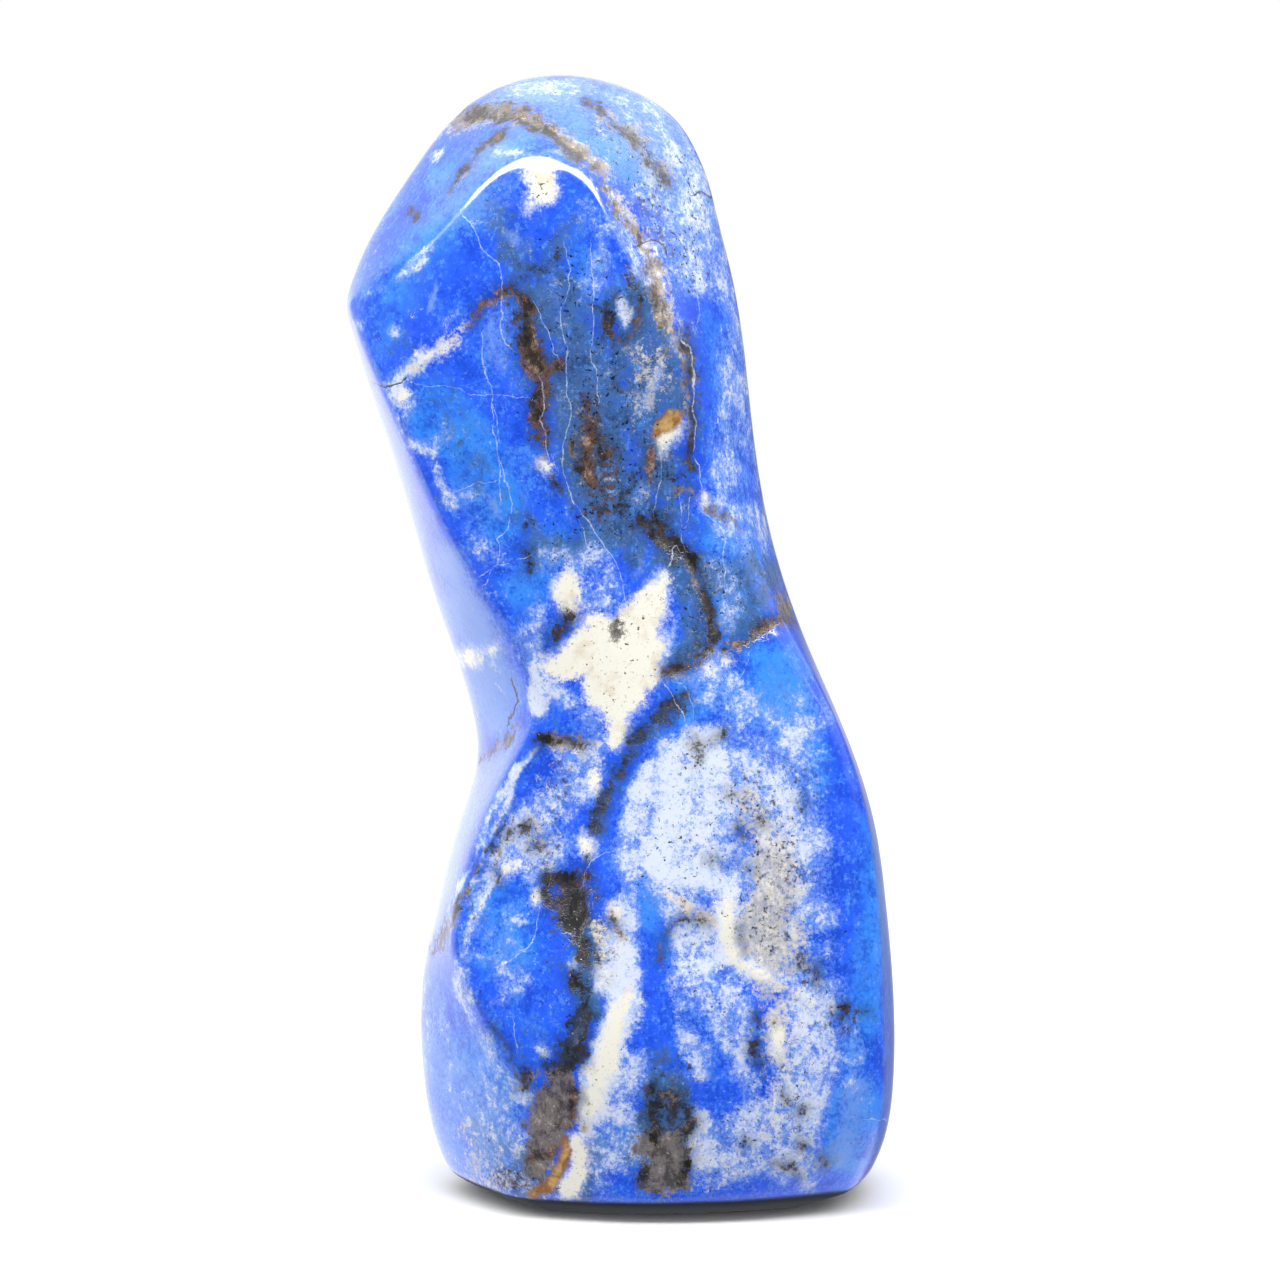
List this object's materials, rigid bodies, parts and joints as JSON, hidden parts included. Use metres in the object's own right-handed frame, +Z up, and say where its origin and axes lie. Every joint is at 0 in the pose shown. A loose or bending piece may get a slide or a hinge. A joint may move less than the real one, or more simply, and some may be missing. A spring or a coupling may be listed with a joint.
{
  "type": "polished freeform lapis lazuli stone",
  "caption": "Upright polished freeform of lapis lazuli with a broad front face under an arched ridge, a pinched waist and a small flat foot to stand on.",
  "frame": {"origin": "in the plane of the foot, under the centre of the stone's bounding box", "axes": "+Z up along the stone's height, -Y out of its broad front face, +X to the right of that face"},
  "size_m": [0.0602, 0.0408, 0.1233],
  "materials": {
    "lapis": "hand-polished lapis lazuli: royal and azure blue with cream calcite, white speckle, brown matrix, pyrite-gold veins and fine white healed cracks"
  },
  "bodies": {
    "root": {"lapis_stone": "lapis"}
  },
  "joints": []
}
